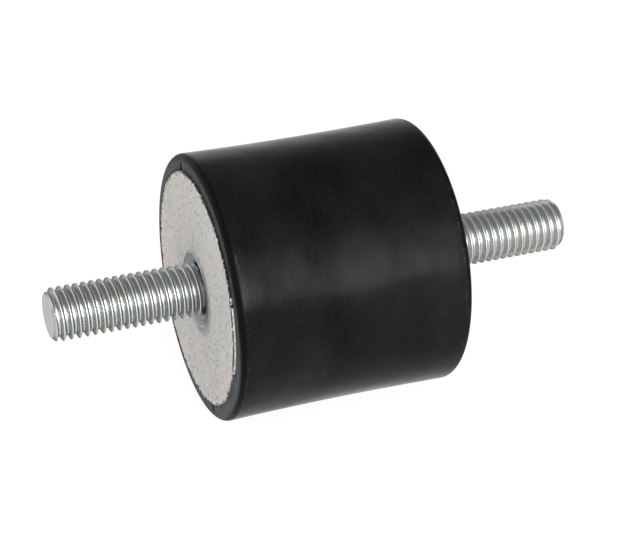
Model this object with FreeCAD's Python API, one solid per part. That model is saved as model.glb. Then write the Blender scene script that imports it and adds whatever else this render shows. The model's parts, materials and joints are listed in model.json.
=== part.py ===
import FreeCAD, Part
import math
import os

from FreeCAD import Vector

# Bobbin vibration mount, 50 x 45 mm, with an M10 stud on each end. A rubber cylinder is moulded round
# two steel plates, and each plate carries a stud whose head lies inside the rubber.
#
# Frame, in millimetres: the origin is the middle of the rubber body, +X runs along the common axis
# towards the right stud, and +Z is up with the mount lying on its side.

# Rubber body
mount_height = 45.0
body_diameter = 50.0
waist_depth = 0.31
rim_round = 1.2

# End plates: the rubber lip is the ring of rubber that wraps the plate's edge, and the plate stands
# proud of that ring by its own broken edge
rubber_lip = 2.85
plate_thickness = 2.5
plate_edge_break = 0.3

# Studs: a metric coarse thread, drawn as a plain shank at its outer diameter
stud_diameter = 10.0
stud_length = 28.0
thread_pitch = 1.5

# Stud shoulder: it fills the plate's hole, and its end is swaged into a dished ring with a low lip.
# A neck as thin as the thread's root joins the dish to the threaded shank
dish_depth = 0.5
neck_length = 1.1
dish_floor = 0.3
dish_flank = 1.65
lip_flank = 0.3
lip_height = 0.25

# Stud head, moulded into the rubber behind the plate
head_overlap = 3.25
head_thickness = 3.0
head_edge_break = 0.6

# A metric thread is this share of its pitch deep, measured along the radius
THREAD_DEPTH_PER_PITCH = 0.6134

# The point half way round a quarter circle is this share of its radius from each of its two sides
QUARTER_MIDDLE = 1 - math.sqrt(0.5)

axis_origin = Vector(0, 0, 0)
axis_direction = Vector(1, 0, 0)

body_radius = body_diameter / 2
plate_face = mount_height / 2
plate_back = plate_face - plate_thickness
rubber_face = plate_face - plate_edge_break
head_back = plate_back - head_thickness
plate_radius = body_radius - rubber_lip
stud_radius = stud_diameter / 2
thread_depth = THREAD_DEPTH_PER_PITCH * thread_pitch
neck_radius = stud_radius - thread_depth
dish_radius = stud_radius + dish_floor
lip_radius = dish_radius + dish_flank
shoulder_radius = lip_radius + lip_flank
head_radius = shoulder_radius + head_overlap


def point(along, radius):
    """A point of a half-section: a place along the axis and a distance from it."""
    return Vector(along, radius, 0)


def line(start, end):
    return Part.LineSegment(point(*start), point(*end)).toShape()


def turned(edges):
    """Solid of revolution about the axis, from the edges of a closed half-section."""
    section = Part.Face(Part.Wire(edges))
    return section.revolve(axis_origin, axis_direction, 360)


def turned_outline(corners):
    """Solid of revolution from a half-section with straight sides."""
    closed = corners + corners[:1]
    return turned([line(start, end) for start, end in zip(closed, closed[1:])])


def right_plate():
    """Punched steel disc with its outer edge broken, and a hole for the stud's shoulder."""
    return turned_outline([
        (plate_back, shoulder_radius),
        (plate_face, shoulder_radius),
        (plate_face, plate_radius - plate_edge_break),
        (rubber_face, plate_radius),
        (plate_back, plate_radius),
    ])


def right_stud():
    """Headed stud: head, shoulder through the plate, dished swaged ring, neck, shank and tip."""
    dish_place = plate_face - dish_depth
    shank_place = dish_place + neck_length
    tip_place = plate_face + stud_length
    return turned_outline([
        (head_back, 0),
        (head_back, head_radius - head_edge_break),
        (head_back + head_edge_break, head_radius),
        (plate_back, head_radius),
        (plate_back, shoulder_radius),
        (plate_face, shoulder_radius),
        (plate_face + lip_height, lip_radius),
        (dish_place, dish_radius),
        (dish_place, neck_radius),
        (shank_place, neck_radius),
        (shank_place, stud_radius),
        (tip_place - thread_depth, stud_radius),
        (tip_place, neck_radius),
        (tip_place, 0),
    ])


def rim(side):
    """Quarter circle that rounds the rubber's edge on the side given, -1 for left and 1 for right."""
    middle = QUARTER_MIDDLE * rim_round
    return Part.Arc(
        point(side * (rubber_face - rim_round), body_radius),
        point(side * (rubber_face - middle), body_radius - middle),
        point(side * rubber_face, body_radius - rim_round),
    ).toShape()


def waisted_side():
    """Shallow curve between the rims, which dips by the waist's depth in the middle."""
    side_end = rubber_face - rim_round
    curve = Part.BezierCurve()
    curve.setPoles([
        point(-side_end, body_radius),
        point(0, body_radius - 2 * waist_depth),
        point(side_end, body_radius),
    ])
    return curve.toShape()


def rubber_body(studs):
    """The moulding: a waisted cylinder with rounded rims and a seat for each plate.

    It is bonded to the backs of the plates and fills the space round the stud heads.
    """
    ring_radius = body_radius - rim_round
    blank = turned([
        line((-plate_back, 0), (-plate_back, plate_radius)),
        line((-plate_back, plate_radius), (-rubber_face, plate_radius)),
        line((-rubber_face, plate_radius), (-rubber_face, ring_radius)),
        rim(-1),
        waisted_side(),
        rim(1),
        line((rubber_face, ring_radius), (rubber_face, plate_radius)),
        line((rubber_face, plate_radius), (plate_back, plate_radius)),
        line((plate_back, plate_radius), (plate_back, 0)),
        line((plate_back, 0), (-plate_back, 0)),
    ])
    return blank.cut(studs)


def mirrored(solid):
    """The left end is the right end seen in a mirror across the middle of the body."""
    return solid.mirror(axis_origin, axis_direction)


plate = right_plate()
stud = right_stud()
nodes = {
    "rubber_body": rubber_body([stud, mirrored(stud)]),
    "left_plate": mirrored(plate),
    "right_plate": plate,
    "left_stud": mirrored(stud),
    "right_stud": stud,
}

os.makedirs("parts", exist_ok=True)
for name, shape in nodes.items():
    solid = shape.Solids[0]
    solid.exportStep("parts/" + name + ".step")
    box = solid.BoundBox
    print(name, "valid", solid.isValid(), "solids", len(shape.Solids), "volume", round(solid.Volume, 1))
    print("  x from", round(box.XMin, 3), "to", round(box.XMax, 3), "across", round(box.ZLength, 3))
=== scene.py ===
import json
import math

import bmesh
import bpy
from mathutils import Matrix, Vector, noise


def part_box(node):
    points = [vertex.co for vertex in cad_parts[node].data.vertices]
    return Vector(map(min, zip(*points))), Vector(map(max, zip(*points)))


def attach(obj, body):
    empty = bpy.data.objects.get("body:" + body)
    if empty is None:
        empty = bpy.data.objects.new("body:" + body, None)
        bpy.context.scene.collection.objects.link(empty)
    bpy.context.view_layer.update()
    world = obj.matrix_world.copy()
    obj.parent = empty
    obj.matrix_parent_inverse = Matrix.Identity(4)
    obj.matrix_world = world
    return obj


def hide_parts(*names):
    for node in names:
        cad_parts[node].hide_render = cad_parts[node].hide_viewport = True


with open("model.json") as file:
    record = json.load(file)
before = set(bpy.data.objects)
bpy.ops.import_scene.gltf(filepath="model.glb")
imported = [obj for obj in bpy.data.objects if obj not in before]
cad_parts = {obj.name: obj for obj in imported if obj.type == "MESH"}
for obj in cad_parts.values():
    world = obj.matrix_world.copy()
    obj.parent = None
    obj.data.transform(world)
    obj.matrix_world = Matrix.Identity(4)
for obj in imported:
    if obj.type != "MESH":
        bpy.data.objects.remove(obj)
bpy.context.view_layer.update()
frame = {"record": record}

# End plates
# Two punched steel discs, blasted so that the rubber bonds to them and left a pale, grainy grey.
# The rubber wraps their edges, and each has a hole that its stud is swaged into.

MM = 0.001
plate_inner, plate_outer = (corner.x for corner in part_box("right_plate"))
plate_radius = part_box("right_plate")[1].z
plate_hole_radius = 7.25 * MM
plate_edge_round = 0.28 * MM
plate_steps = 256
plate_crease = math.radians(40)

worn_width = 4.0 * MM
frost_width = 1.8 * MM
frost_full_width = 0.6 * MM
# Grime and painted shade on the plate beside the swaged ring
grime_and_shade_centre = (0, -0.9 * MM, -0.5 * MM)
grime_and_shade_outer_radius = plate_hole_radius + 0.4 * MM
grime_and_shade_full_radius = plate_hole_radius - 1.0 * MM
edge_dark_start = plate_radius - 0.05 * MM
edge_dark_full = plate_radius + 0.1 * MM
gap_turn = math.radians(273)
gap_span = (0.935, 0.965)
gap_dark_line = [plate_radius - width * MM for width in (1.15, 1.0, 0.25, 0.12)]
grain_depth = 0.05 * MM

PLATE_GREY = (0.515, 0.498, 0.458, 1)
PLATE_PINK = (0.59, 0.47, 0.45, 1)
PLATE_BLUE = (0.42, 0.445, 0.45, 1)
PLATE_PALE = (0.80, 0.785, 0.74, 1)
PLATE_SPECK = (0.17, 0.16, 0.15, 1)
PLATE_GRIME_AND_SHADE = (0.20, 0.20, 0.205, 1)
PLATE_EDGE_DARK = (0.012, 0.012, 0.012, 1)


class Signal:
    """An output socket of a node. Arithmetic on it adds Math nodes."""

    def __init__(self, finish, socket):
        self.finish = finish
        self.socket = socket

    def __add__(self, other):
        return self.finish.maths("ADD", self, other)

    def __radd__(self, other):
        return self.finish.maths("ADD", other, self)

    def __sub__(self, other):
        return self.finish.maths("SUBTRACT", self, other)

    def __rsub__(self, other):
        return self.finish.maths("SUBTRACT", other, self)

    def __mul__(self, other):
        return self.finish.maths("MULTIPLY", self, other)

    def __rmul__(self, other):
        return self.finish.maths("MULTIPLY", other, self)

    def __truediv__(self, other):
        return self.finish.maths("DIVIDE", self, other)

    def __rtruediv__(self, other):
        return self.finish.maths("DIVIDE", other, self)

    def __abs__(self):
        return self.finish.maths("ABSOLUTE", self)

    def either(self, other):
        """The higher of the two."""
        return self.finish.maths("MAXIMUM", self, other)

    def beside(self, name):
        """Another output of the same node."""
        return Signal(self.finish, self.socket.node.outputs[name])

    def ramp(self, low, high):
        """0 at low, 1 at high, and straight between. Low may be above high, and then it falls."""
        return self.finish.add("MapRange", {"clamp": True}, {0: self, 1: low, 2: high})

    def band(self, start, full, fading, end):
        """1 from full to fading, and 0 before start and after end."""
        return self.ramp(start, full) * self.ramp(end, fading)

    def mixed(self, number, other):
        """The number where this is 0, and the other number where it is 1."""
        return number + (other - number) * self

    def tint(self, colour, other):
        """The colour where this is 0, and the other colour where it is 1."""
        return self.finish.add("Mix", {"data_type": "RGBA"}, {0: self, 6: colour, 7: other}, 2)


class Finish:
    """The nodes of a material, a lamp or the world."""

    def __init__(self, owner):
        owner.use_nodes = True
        self.owner = owner
        self.tree = owner.node_tree
        self.tree.nodes.clear()

    def add(self, kind, settings=None, sockets=None, output=0):
        """A node, which gets its settings first, and then the values or links of its sockets."""
        node = self.tree.nodes.new("ShaderNode" + kind)
        for name, value in (settings or {}).items():
            setattr(node, name, value)
        for name, value in (sockets or {}).items():
            if isinstance(value, Signal):
                self.tree.links.new(value.socket, node.inputs[name])
            else:
                node.inputs[name].default_value = value
        return None if output is None else Signal(self, node.outputs[output])

    def maths(self, operation, first, second=0.0):
        return self.add("Math", {"operation": operation}, {0: first, 1: second})

    def place(self, stretch=(1, 1, 1)):
        """The place on the object, in metres, with each axis multiplied by its stretch."""
        place = self.add("TexCoord", output="Object")
        return self.add("Mapping", {}, {"Vector": place, "Scale": stretch})

    def axes(self):
        """The x, y and z of the place on the object, in metres."""
        x = self.add("SeparateXYZ", {}, {0: self.place()})
        return x, x.beside("Y"), x.beside("Z")

    def reach(self, centre=(0, 0, 0)):
        """The distance in metres from the mount's axis, or from the line along it through centre."""
        sockets = {0: self.place(stretch=(0, 1, 1)), 1: centre}
        return self.add("VectorMath", {"operation": "DISTANCE"}, sockets, "Value")

    def cloud(self, grain, detail=3, roughness=0.5, stretch=(1, 1, 1)):
        """Noise from 0 to 1 whose grains are as many metres across as given."""
        sockets = {
            "Vector": self.place(stretch),
            "Scale": 1 / grain,
            "Detail": detail,
            "Roughness": roughness,
        }
        return self.add("TexNoise", {}, sockets)

    def dots(self, spacing, radius, share):
        """1 inside scattered dots and 0 outside. Only the share given of the cells has a dot."""
        distance = self.add("TexVoronoi", {}, {"Vector": self.place(), "Scale": 1 / spacing})
        lot = self.add("SeparateXYZ", {}, {0: distance.beside("Color")})
        inside = distance.ramp(radius / spacing, radius / spacing * 0.5)
        return inside * lot.ramp(share + 0.01, share)

    def bump(self, height, depth):
        """A normal from a height of 0 to 1 that stands for the depth given, in metres."""
        return self.add("Bump", {}, {"Height": height, "Distance": depth, "Strength": 1.0})

    def ended(self, kind, surface):
        """Adds the output node, and gives back the material, lamp or world."""
        self.add(kind, {}, {"Surface": surface}, output=None)
        return self.owner

    def painted(self, sockets):
        return self.ended("OutputMaterial", self.add("BsdfPrincipled", {}, sockets))


def dark_edge(finish, reach):
    """1 where the plate's very edge is painted nearly black. At the flash's gap it leaves bare steel and a
    thin dark line.
    """
    y, z = finish.axes()[1:]
    teeth = finish.cloud(0.6 * MM, detail=2, roughness=0.7).ramp(0.42, 0.72) * 1.5 * MM
    edge_dark = (reach + teeth).ramp(edge_dark_start, edge_dark_full)
    dark_line = reach.band(*gap_dark_line) * finish.cloud(2.0 * MM, detail=2).ramp(0.36, 0.42)
    towards_gap = (y * math.sin(gap_turn) + z * math.cos(gap_turn)) / reach
    return towards_gap.ramp(*gap_span).mixed(edge_dark, dark_line)


def blasted_steel():
    finish = Finish(bpy.data.materials.new("blasted_steel"))
    reach = finish.reach()
    worn = reach.ramp(plate_radius - worn_width, plate_radius)
    frost = reach.ramp(plate_radius - frost_width, plate_radius - frost_full_width)

    patches = finish.cloud(9.0 * MM, detail=2).ramp(0.49, 0.72)
    drift = finish.cloud(9.0 * MM, detail=2, stretch=(1, 1.6, 0.7)).ramp(0.49, 0.68)
    grain = finish.cloud(0.9 * MM, detail=4, roughness=0.85).ramp(0.38, 0.62)
    pits = finish.cloud(0.8 * MM, detail=4, roughness=0.85).ramp(0.57 - worn * 0.06 - frost * 0.03, 0.64)
    specks = finish.dots(spacing=1.2 * MM, radius=0.15 * MM, share=0.05 + worn * 0.15)
    colour = patches.tint(PLATE_GREY, PLATE_PINK)
    colour = drift.tint(colour, PLATE_BLUE)
    colour = (grain * (0.42 + worn * 0.25) + frost * 0.25).tint(colour, PLATE_PALE)
    colour = (pits * 0.8).tint(colour, PLATE_SPECK)
    colour = (specks * 0.5).tint(colour, PLATE_SPECK)

    # Grime and painted shade gather beside the swaged ring, in an uneven crescent set off to one side and
    # below
    unevenness = finish.cloud(1.5 * MM, roughness=0.6) * 1.6 * MM
    grime_and_shade = (finish.reach(grime_and_shade_centre) - unevenness).ramp(grime_and_shade_outer_radius, grime_and_shade_full_radius)
    colour = (grime_and_shade * 0.65).tint(colour, PLATE_GRIME_AND_SHADE)
    # The plate's very edge is painted nearly black where the rubber meets it
    colour = (dark_edge(finish, reach) * 0.93).tint(colour, PLATE_EDGE_DARK)
    return finish.painted({
        "Base Color": colour,
        "Metallic": 0.0,
        "Roughness": 0.55 + grain * 0.2,
        "Specular IOR Level": 0.35,
        "Normal": finish.bump(grain - pits, grain_depth),
    })


def lathe_profile(bm, corners):
    """A chain of edges in the plane of the axis, from corners of (along, radius)."""
    verts = [bm.verts.new((along, 0, radius)) for along, radius in corners]
    for start, end in zip(verts, verts[1:]):
        bm.edges.new((start, end))
    return verts


def round_corners(bm, verts, radius, segments):
    bmesh.ops.bevel(
        bm, geom=verts, offset=radius, offset_type="OFFSET", segments=segments,
        profile=0.5, affect="VERTICES", material=-1)


def turn(bm, steps):
    """Spins the whole chain once about the axis."""
    bmesh.ops.spin(
        bm, geom=bm.verts[:] + bm.edges[:], cent=(0, 0, 0), axis=(1, 0, 0),
        angle=math.tau, steps=steps, use_merge=True)


def distance_from_axis(vert):
    return math.hypot(vert.co.y, vert.co.z)


def move_to_radius(vert, radius):
    """Moves a vertex straight away from the axis or towards it."""
    share = radius / distance_from_axis(vert)
    vert.co.y *= share
    vert.co.z *= share


def end_for_end(bm):
    """Turns the piece round, so that the right end's piece becomes the left end's."""
    bmesh.ops.rotate(bm, cent=(0, 0, 0), matrix=Matrix.Rotation(math.pi, 3, "Z"), verts=bm.verts)


def finished(bm, name, material, node, crease):
    """Makes the piece's object, smooth but for edges sharper than crease, in the place of its CAD node."""
    bmesh.ops.remove_doubles(bm, verts=bm.verts, dist=0.002 * MM)
    bmesh.ops.recalc_face_normals(bm, faces=bm.faces)
    for face in bm.faces:
        face.smooth = True
    for edge in bm.edges:
        edge.smooth = len(edge.link_faces) == 2 and edge.calc_face_angle() < crease
    mesh = bpy.data.meshes.new(name)
    bm.to_mesh(mesh)
    bm.free()
    mesh.materials.append(material)
    piece = bpy.data.objects.new(name, mesh)
    bpy.context.scene.collection.objects.link(piece)
    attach(piece, "root")
    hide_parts(node)


steel = blasted_steel()
for side in ("right", "left"):
    bm = bmesh.new()
    corners = lathe_profile(bm, [
        (plate_inner, plate_hole_radius),
        (plate_outer, plate_hole_radius),
        (plate_outer, plate_radius),
        (plate_inner, plate_radius),
        (plate_inner, plate_hole_radius),
    ])
    round_corners(bm, [corners[2]], plate_edge_round, 4)
    turn(bm, plate_steps)
    if side == "left":
        end_for_end(bm)
    finished(bm, side + "_plate_disc", steel, side + "_plate", plate_crease)

# Studs
# Each is one piece of bright zinc-plated steel: a head inside the rubber, a shoulder swaged over the
# plate into a dished ring, a short neck, and a rolled right-hand thread with a chamfered tip.

THREAD_DEPTH_PER_PITCH = 0.6134

thread_pitch = 1.5 * MM
stud_radius = frame["record"]["mounts"][0]["dims"]["r_mm"] * MM
thread_depth = THREAD_DEPTH_PER_PITCH * thread_pitch
root_radius = stud_radius - thread_depth
crest_half = thread_pitch / 16
root_half = thread_pitch / 8
thread_round = 0.07 * MM
thread_steps = 72
flank_cuts = 5
run_out_slope = 3
head_inner, stud_tip = (corner.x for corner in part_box("right_stud"))
head_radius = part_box("right_stud")[1].z
head_edge = 0.6 * MM
dish_place = plate_outer - 0.5 * MM
thread_start = dish_place + 0.1 * MM
dish_radius = stud_radius + 0.3 * MM
lip_radius = dish_radius + 1.65 * MM
lip_height = 0.25 * MM
thread_phase = {"left": 0.26, "right": 2.3}
stud_crease = math.radians(38)

# The swaged lip's section, as shares of its height and distances outwards from its crest
lip_section = ((0.6, -0.20 * MM), (0.9, -0.08 * MM), (1, 0.02 * MM), (0.9, 0.12 * MM), (0.5, 0.22 * MM))

plating_depth = 0.018 * MM
crest_band = (stud_radius - 0.14 * MM, stud_radius - 0.03 * MM)
shoulder_shade_band = [stud_radius - depth * MM for depth in (0.32, 0.22, 0.18, 0.08)]
groove_shade_band = (stud_radius - 0.2 * MM, root_radius)
outside_band = (plate_outer + 0.2 * MM, plate_outer + 0.5 * MM, stud_tip - 0.2 * MM, stud_tip - 0.02 * MM)
chamfer_band = (stud_tip - 0.5 * MM, stud_tip - 0.2 * MM)
face_band = (stud_tip - 0.06 * MM, stud_tip - 0.01 * MM)
tip_band = (stud_tip - 5.0 * MM, stud_tip - 2.0 * MM)
ring_band = (plate_outer + 0.4 * MM, plate_outer + 0.3 * MM)

ZINC_BLUE = (0.62, 0.66, 0.685, 1)
ZINC_WARM = (0.675, 0.665, 0.61, 1)
ZINC_CREST_HIGHLIGHT = (0.72, 0.72, 0.745, 1)
ZINC_DULL_AND_SHADE = (0.27, 0.27, 0.26, 1)
ZINC_RECESS_SHADE = (0.13, 0.14, 0.155, 1)
ZINC_RING = (0.22, 0.23, 0.225, 1)
ZINC_RING_LIT = (0.53, 0.545, 0.56, 1)
ZINC_SHADED = (0.10, 0.112, 0.13, 1)
ZINC_FACE = (0.47, 0.465, 0.48, 1)


def ring_colour(finish, reach, pressed):
    """The swaged ring is pressed and matt, with a painted highlight on its lip, painted light below and
    towards the stud, and painted shade on one side.
    """
    y, z = finish.axes()[1:]
    # Painted highlight on the lip and painted light below and towards the stud
    lip_highlight = reach.ramp(lip_radius - 0.25 * MM, lip_radius) * y.ramp(-5.0 * MM, -2.5 * MM)
    painted_light = lip_highlight + z.ramp(-3.5 * MM, -6.0 * MM)
    inner_light = reach.ramp(lip_radius - 0.4 * MM, dish_radius + 0.1 * MM)
    matt = (painted_light * 0.4 + pressed * 0.4 + inner_light * 0.45).tint(ZINC_RING, ZINC_RING_LIT)
    shaded = y.ramp(-3.5 * MM, -6.5 * MM) * z.ramp(-6.5 * MM, -4.0 * MM)
    shaded = shaded * reach.ramp(dish_radius + 0.6 * MM, lip_radius - 0.3 * MM)
    return shaded.tint(matt, ZINC_SHADED)


def zinc_plate():
    finish = Finish(bpy.data.materials.new("zinc_plate"))
    along = abs(finish.axes()[0])
    reach = finish.reach()
    tarnish = finish.cloud(2.4 * MM, detail=4, roughness=0.6).ramp(0.4, 0.62)
    mottle = finish.cloud(0.45 * MM, roughness=0.7).ramp(0.42, 0.66)
    rolled = finish.cloud(0.9 * MM, roughness=0.6, stretch=(9, 1, 1))
    nicks = finish.dots(spacing=0.8 * MM, radius=0.22 * MM, share=0.4)

    # The thread's crests get a painted highlight, and its grooves painted shade over the dull mottle
    outside = along.band(*outside_band)
    crest = reach.ramp(*crest_band) * outside
    shoulder_shade = reach.band(*shoulder_shade_band) * outside
    groove_shade = reach.ramp(*groove_shade_band) * outside
    colour = tarnish.tint(ZINC_BLUE, ZINC_WARM)
    colour = (mottle * 0.45 + groove_shade * 0.2).tint(colour, ZINC_DULL_AND_SHADE)
    colour = (crest * 0.5).tint(colour, ZINC_CREST_HIGHLIGHT)

    # Painted shade on the crests' shoulders; the tip's chamfer is dull, and its flat face is matt
    chamfer = along.ramp(*chamfer_band) * reach.ramp(root_radius - 0.05 * MM, root_radius + 0.05 * MM)
    colour = (shoulder_shade * 0.5 + chamfer * 0.6).tint(colour, ZINC_DULL_AND_SHADE)
    face = along.ramp(*face_band)
    colour = (face * (0.8 + mottle * 0.2)).tint(colour, ZINC_FACE)
    near_tip = along.ramp(*tip_band)

    # The swaged ring has its own colour with painted light and shade, and the recess round the neck gets
    # painted shade
    ring = along.ramp(*ring_band) * reach.ramp(stud_radius + 0.05 * MM, dish_radius)
    pressed = finish.cloud(0.75 * MM, roughness=0.75).ramp(0.42, 0.58)
    colour = (ring * 0.95).tint(colour, ring_colour(finish, reach, pressed))
    # Painted shade in the recess round the neck
    recess_shade = along.ramp(thread_start + 0.9 * MM, thread_start)
    recess_shade = recess_shade * reach.ramp(lip_radius, dish_radius - 0.6 * MM)
    colour = (recess_shade * 0.35).tint(colour, ZINC_RECESS_SHADE)

    height = rolled * 0.3 + mottle * 0.28 - nicks * (0.4 + near_tip * 0.5) + ring * pressed * 4.0
    return finish.painted({
        "Base Color": colour,
        "Metallic": 1 - ring * 0.9 - face * 0.8,
        "Roughness": 0.29 + rolled * 0.08 + mottle * 0.08 + crest * 0.08 + ring * 0.2,
        "Specular Tint": (0.1, 0.1, 0.1, 1),
        "Normal": finish.bump(height, plating_depth),
    })


def stud_envelope(along):
    """The radius that the thread is turned down to at its two ends."""
    tip_cone = root_radius + (stud_tip - along)
    start_cone = root_radius + (along - thread_start) * run_out_slope
    return min(stud_radius, tip_cone, start_cone)


def rolled_thread(bm, phase):
    """One turn of the thread's profile, repeated along the stud and cut off square at both ends."""
    turns = math.ceil((stud_tip - thread_start) / thread_pitch) + 2
    first = thread_start - thread_pitch * 1.5
    profile = lathe_profile(bm, [
        (first, root_radius),
        (first + root_half, root_radius),
        (first + thread_pitch / 2 - crest_half, stud_radius),
        (first + thread_pitch / 2 + crest_half, stud_radius),
        (first + thread_pitch - root_half, root_radius),
        (first + thread_pitch, root_radius),
    ])
    round_corners(bm, profile[1:-1], thread_round, 3)
    flanks = [edge for edge in bm.edges if edge.calc_length() > thread_depth * 0.6]
    bmesh.ops.subdivide_edges(bm, edges=flanks, cuts=flank_cuts)
    bmesh.ops.rotate(bm, cent=(0, 0, 0), matrix=Matrix.Rotation(phase, 3, "X"), verts=bm.verts)
    bmesh.ops.spin(
        bm, geom=bm.verts[:] + bm.edges[:], cent=(0, 0, 0), axis=(1, 0, 0),
        dvec=(thread_pitch / thread_steps, 0, 0), angle=math.tau, steps=thread_steps)
    first_turn = bm.verts[:] + bm.edges[:] + bm.faces[:]
    for number in range(1, turns):
        copied = bmesh.ops.duplicate(bm, geom=first_turn)["geom"]
        verts = [item for item in copied if isinstance(item, bmesh.types.BMVert)]
        bmesh.ops.translate(bm, verts=verts, vec=(thread_pitch * number, 0, 0))
    bmesh.ops.remove_doubles(bm, verts=bm.verts, dist=0.004 * MM)
    for place, outward in ((stud_tip, 1), (thread_start, -1)):
        bmesh.ops.bisect_plane(
            bm, geom=bm.verts[:] + bm.edges[:] + bm.faces[:], dist=0.0005 * MM,
            plane_co=(place, 0, 0), plane_no=(outward, 0, 0), clear_outer=True)
    for vert in bm.verts:
        limit = stud_envelope(vert.co.x)
        if distance_from_axis(vert) > limit:
            move_to_radius(vert, limit)


def end_ring(bm, place):
    """The open edges of the thread at one of its ends."""
    return [
        edge for edge in bm.edges
        if edge.is_boundary and all(abs(vert.co.x - place) < 0.01 * MM for vert in edge.verts)]


def next_ring(bm, edges, along, radius):
    """Extrudes a ring of edges to a new place along the axis and a new distance from it."""
    made = bmesh.ops.extrude_edge_only(bm, edges=edges)["geom"]
    for vert in [item for item in made if isinstance(item, bmesh.types.BMVert)]:
        vert.co.x = along
        move_to_radius(vert, radius)
    return [item for item in made if isinstance(item, bmesh.types.BMEdge)]


zinc = zinc_plate()
for side in ("right", "left"):
    bm = bmesh.new()
    rolled_thread(bm, thread_phase[side])
    bmesh.ops.holes_fill(bm, edges=end_ring(bm, stud_tip), sides=0)
    ring = end_ring(bm, thread_start)
    for along, radius in (
        (dish_place, root_radius),
        (dish_place, dish_radius),
        *((plate_outer + lip_height * share, lip_radius + outwards) for share, outwards in lip_section),
        (plate_outer, plate_hole_radius),
        (plate_inner, plate_hole_radius),
        (plate_inner, head_radius),
        (head_inner + head_edge, head_radius),
        (head_inner, head_radius - head_edge),
    ):
        ring = next_ring(bm, ring, along, radius)
    bmesh.ops.holes_fill(bm, edges=ring, sides=0)
    if side == "left":
        end_for_end(bm)
    finished(bm, side + "_threaded_stud", zinc, side + "_stud", stud_crease)

# Rubber body
# One moulding of black natural rubber. It has a slight waist and rounded rims, wraps the edge of each
# plate with a flat ring, and fills the space round the stud heads. Its skin is satin, rubbed and cloudy.

rubber_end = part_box("rubber_body")[1].x
body_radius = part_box("rubber_body")[1].z
rim_round = 1.2 * MM
waist_depth = 0.31 * MM
flash_reach = 0.65 * MM
flash_height = 0.05 * MM
flash_gap_start = 0.93
flash_gap_slope = 45
flash_gap_depth = 1.6
notch_width = 0.8 * MM
notch_depth = 0.35 * MM
notch_length = 1.0 * MM
notch_turn = math.radians(20)
parting_turn = math.radians(17.6)
body_steps = 720
body_crease = math.radians(40)

skin_depth = 1.0 * MM
rim_band = (rubber_end - 1.3 * MM, rubber_end - 0.9 * MM)
flat_band = (rubber_end - 0.12 * MM, rubber_end - 0.02 * MM)
dust_band = (
    plate_radius + 0.15 * MM, plate_radius + 0.4 * MM, body_radius - 1.3 * MM, body_radius - 0.9 * MM)
scuff_band = [rubber_end - width * MM for width in (1.7, 1.4, 1.1, 0.8)]
rim_reflection_band = (body_radius - 0.4 * MM, body_radius - 0.95 * MM)

RUBBER_BLACK = (0.0008, 0.0008, 0.0010, 1)
RUBBER_GREY = (0.0070, 0.0069, 0.0067, 1)
RUBBER_DUST = (0.11, 0.11, 0.105, 1)
RUBBER_RING = (0.050, 0.050, 0.053, 1)
RUBBER_REFLECTION = (0.075, 0.082, 0.10, 1)


def rim_marks(finish, along, reach, rim, colour):
    """The colour with painted shade on the rims, scuffs and a painted reflection on one side of them, and
    dusty rings by the plates.
    """
    y, z = finish.axes()[1:]
    # The rims get painted shade, darker than the rest of the rubber
    colour = (rim * 0.7).tint(colour, RUBBER_BLACK)
    scuffs = along.band(*scuff_band) * y.ramp(-12.0 * MM, -17.0 * MM)
    scuffs = scuffs * finish.cloud(1.8 * MM, detail=4, roughness=0.75, stretch=(2, 1, 1)).ramp(0.54, 0.68)
    colour = (scuffs * 0.22).tint(colour, RUBBER_DUST)
    dust_and_reflection_patches = finish.cloud(1.2 * MM, detail=4, roughness=0.75).ramp(0.36, 0.64)
    # A painted bluish reflection on the rims' lower near side, patchy like the dust
    rim_reflection = rim * reach.ramp(*rim_reflection_band) * y.ramp(-7.0 * MM, -15.0 * MM) * z.ramp(4.0 * MM, -4.0 * MM)
    colour = (rim_reflection * (0.4 + dust_and_reflection_patches * 0.4)).tint(colour, RUBBER_REFLECTION)
    ring = along.ramp(*flat_band) * reach.band(*dust_band)
    return (ring * (0.3 + dust_and_reflection_patches * 0.7)).tint(colour, RUBBER_RING)


def moulded_rubber():
    finish = Finish(bpy.data.materials.new("moulded_rubber"))
    x, y, z = finish.axes()
    along = abs(x)
    reach = finish.reach()
    clouds = finish.cloud(14.0 * MM, detail=4, stretch=(1, 0.7, 0.7)).ramp(0.32, 0.66)
    wipes = finish.cloud(5.0 * MM, detail=4, roughness=0.65, stretch=(7, 0.8, 0.8)).ramp(0.3, 0.75)
    scratches = finish.cloud(6.0 * MM, detail=2, stretch=(26, 1, 1)).ramp(0.56, 0.74)
    skin = finish.cloud(0.32 * MM, roughness=0.7).ramp(0.35, 0.7)
    swell = finish.cloud(15.0 * MM, detail=2, roughness=0.4)
    colour = (clouds * 0.85 + wipes * 0.15).tint(RUBBER_BLACK, RUBBER_GREY)
    colour = (scratches * 0.014 + skin * 0.05).tint(colour, RUBBER_DUST)
    specks = finish.dots(spacing=2.6 * MM, radius=0.13 * MM, share=0.16)
    specks = specks * finish.cloud(9.0 * MM, detail=2).ramp(0.5, 0.6)
    colour = (specks * 0.6).tint(colour, RUBBER_DUST)

    # The line where the halves of the mould met stands up a little, in places
    aside = abs(y * math.sin(parting_turn) - z * math.cos(parting_turn))
    parting = aside.ramp(0.25 * MM, 0.05 * MM) * finish.cloud(8.0 * MM, roughness=0.6).ramp(0.35, 0.6)

    rim = along.ramp(*rim_band)
    colour = rim_marks(finish, along, reach, rim, colour)
    height = skin * 0.006 + wipes * 0.004 + scratches * 0.004 + swell * 0.6 + parting * 0.022
    return finish.painted({
        "Base Color": colour,
        "Metallic": 0.0,
        "Roughness": 0.17 + clouds * 0.06 + wipes * 0.07 + rim * 0.2,
        "Specular IOR Level": 0.055,
        "Normal": finish.bump(height, skin_depth),
    })


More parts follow.
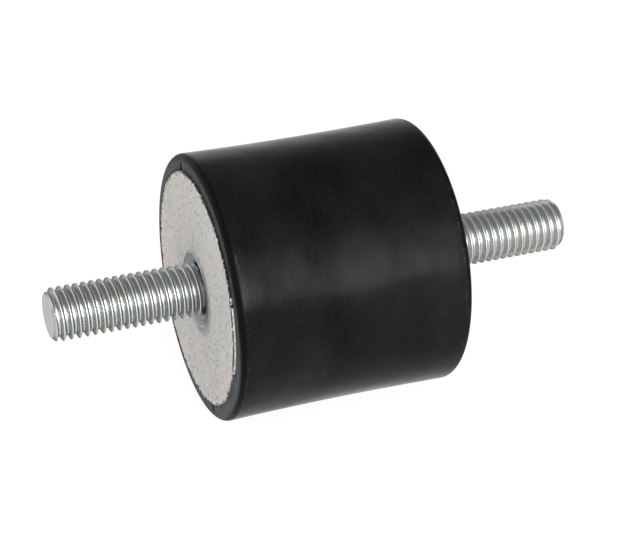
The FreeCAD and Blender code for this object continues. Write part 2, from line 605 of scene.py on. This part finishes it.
def flash_creep(vert):
    """How far the flash creeps over the plate at a vertex. It is uneven, and below 0 at the gap."""
    around = Vector((vert.co.y, vert.co.z, 0)).normalized() * 9
    around.z = math.copysign(3.3, vert.co.x)
    broad = noise.noise(around * 0.33)
    ragged = noise.noise(around * 4.2) + 0.6 * noise.noise(around * 9)
    towards_gap = vert.co.y * math.sin(gap_turn) + vert.co.z * math.cos(gap_turn)
    towards_gap /= distance_from_axis(vert)
    short = min(max(0, towards_gap - flash_gap_start) * flash_gap_slope, flash_gap_depth)
    return (max(0.45 + broad * 0.7 + ragged * 1.5, 0.1) - short) * flash_reach


def flash_edge(bm):
    """Lets the thin flash round each plate creep over the plate's edge, or fall short."""
    for vert in bm.verts:
        reach = distance_from_axis(vert)
        past = abs(vert.co.x) - rubber_end
        if past < 0.05 * MM or reach > plate_radius + 0.02 * MM:
            continue
        creep = flash_creep(vert)
        lift = min(max(creep / (0.15 * flash_reach), 0), 1)
        vert.co.x = math.copysign(rubber_end + past * lift, vert.co.x)
        is_tip = reach < plate_radius - 0.1 * MM
        move_to_radius(vert, plate_radius - (creep if is_tip else creep * 0.5))


def locating_notches(bm):
    """Sinks the two small marks that the mould's pins leave beside each plate, on one diameter."""
    for vert in bm.verts:
        beside = plate_radius + 0.05 * MM < distance_from_axis(vert) < plate_radius + notch_length
        aside = vert.co.y * math.cos(notch_turn) - vert.co.z * math.sin(notch_turn)
        if beside and abs(vert.co.x) > rubber_end - 0.1 * MM and abs(aside) < notch_width / 2:
            vert.co.x -= math.copysign(notch_depth, vert.co.x)


def narrow_waist(bm):
    """Sinks the long side of the section into a shallow curve."""
    side_line = max(bm.edges, key=lambda edge: edge.calc_length())
    bmesh.ops.subdivide_edges(bm, edges=[side_line], cuts=31)
    for vert in bm.verts:
        share = abs(vert.co.x) / (rubber_end - rim_round)
        if vert.co.z > body_radius - 0.01 * MM and share < 1:
            vert.co.z -= waist_depth * (1 - share ** 2)


rubber = moulded_rubber()
bm = bmesh.new()
half = [
    (head_inner, 0),
    (head_inner, head_radius - head_edge),
    (head_inner + head_edge, head_radius),
    (plate_inner, head_radius),
    (plate_inner, plate_radius),
    (rubber_end - 0.5 * MM, plate_radius),
    (plate_outer - 0.02 * MM, plate_radius - flash_reach),
    (plate_outer + flash_height, plate_radius - 0.02 * MM),
    (rubber_end + 0.08 * MM, plate_radius + 0.3 * MM),
    (rubber_end, plate_radius + 0.9 * MM),
    (rubber_end, body_radius),
]
corners = lathe_profile(bm, half + [(-along, radius) for along, radius in reversed(half)])
round_corners(bm, [corners[len(half) - 1], corners[len(half)]], rim_round, 8)
narrow_waist(bm)
turn(bm, body_steps)
flash_edge(bm)
locating_notches(bm)
finished(bm, "rubber_moulding", rubber, "rubber_body", body_crease)

# Studio
# A pale floor under the mount, and a white surround that lights it from all sides. One soft lamp
# stands in front, and a weak one behind on the left.

floor_level = -body_radius
floor_half = 3.0
floor_white_share = 0.85
floor_glow = 1.08
surround_light = 0.6
surround_darkens = (0.15, 0.55)

FLOOR_WHITE = (0.86, 0.86, 0.86, 1)
PURE_WHITE = (1, 1, 1, 1)
OVERHEAD_GREY = (0.34, 0.34, 0.34, 1)


def seen(finish):
    """1 for rays that show the background, to the camera or in a reflection, and 0 for the rest."""
    camera = finish.add("LightPath", output="Is Camera Ray")
    return camera.either(camera.beside("Is Glossy Ray")).either(camera.beside("Is Transmission Ray"))


def pale_floor():
    finish = Finish(bpy.data.materials.new("pale_floor"))
    matt = finish.add("BsdfDiffuse", {}, {"Color": FLOOR_WHITE})
    white = finish.add("Emission", {}, {"Color": PURE_WHITE, "Strength": floor_glow})
    both = finish.add("MixShader", {}, {0: seen(finish) * floor_white_share, 1: matt, 2: white})
    return finish.ended("OutputMaterial", both)


def soft_lamp(name, place, width, height, power, fade):
    """A rectangular soft lamp that fades from its lower edge to its upper edge."""
    light = bpy.data.lights.new(name, "AREA")
    light.shape = "RECTANGLE"
    light.size = width
    light.size_y = height
    light.energy = power
    finish = Finish(light)
    across = finish.add("NewGeometry", output="Parametric")
    up = finish.add("SeparateXYZ", {}, {0: across}, "Y")
    glow = finish.add("Emission", {}, {"Color": PURE_WHITE, "Strength": 1 - up * fade})
    finish.ended("OutputLight", glow)
    lamp = bpy.data.objects.new(name, light)
    lamp.location = place
    lamp.rotation_euler = (-Vector(place)).to_track_quat("-Z", "Y").to_euler()
    bpy.context.scene.collection.objects.link(lamp)


def surround():
    """The studio round the mount: white at the level of the floor, and darker overhead."""
    finish = Finish(bpy.data.worlds.new("studio"))
    direction = finish.add("TexCoord", output="Generated")
    overhead = finish.add("SeparateXYZ", {}, {0: direction}, "Z").ramp(*surround_darkens)
    backdrop = overhead.tint(PURE_WHITE, OVERHEAD_GREY)
    shown = finish.add("Background", {}, {"Color": backdrop, "Strength": 1.0})
    lighting = finish.add("Background", {}, {"Color": PURE_WHITE, "Strength": surround_light})
    both = finish.add("MixShader", {}, {0: seen(finish), 1: lighting, 2: shown})
    return finish.ended("OutputWorld", both)


bm = bmesh.new()
bmesh.ops.create_grid(bm, x_segments=1, y_segments=1, size=floor_half)
bmesh.ops.translate(bm, verts=bm.verts, vec=(0, 0, floor_level))
mesh = bpy.data.meshes.new("floor")
bm.to_mesh(mesh)
bm.free()
mesh.materials.append(pale_floor())
floor = bpy.data.objects.new("floor", mesh)
bpy.context.scene.collection.objects.link(floor)

soft_lamp("front_lamp", (0.07, -0.81, 0.50), width=0.42, height=0.86, power=25, fade=0.97)
soft_lamp("left_lamp", (-0.75, 0.4, 0.5), width=0.9, height=0.9, power=2.5, fade=0.0)
bpy.context.scene.world = surround()

# Camera
# A long lens looks down at the mount from the front, a little beyond its left end. It stands where
# the mount's outlines come closest to those of the photograph.

camera_place = (-0.12469, -0.33550, 0.20102)
camera_down = math.radians(29.38)
camera_turn = math.radians(20.52)

camera = bpy.data.cameras.new("camera")
camera.sensor_width = 36
camera.lens = 125.4
camera.clip_start = 0.01
holder = bpy.data.objects.new("camera", camera)
holder.location = camera_place
holder.rotation_euler = (math.pi / 2 - camera_down, 0, -camera_turn)
bpy.context.scene.collection.objects.link(holder)
bpy.context.scene.camera = holder
bpy.context.scene.view_settings.view_transform = "Standard"
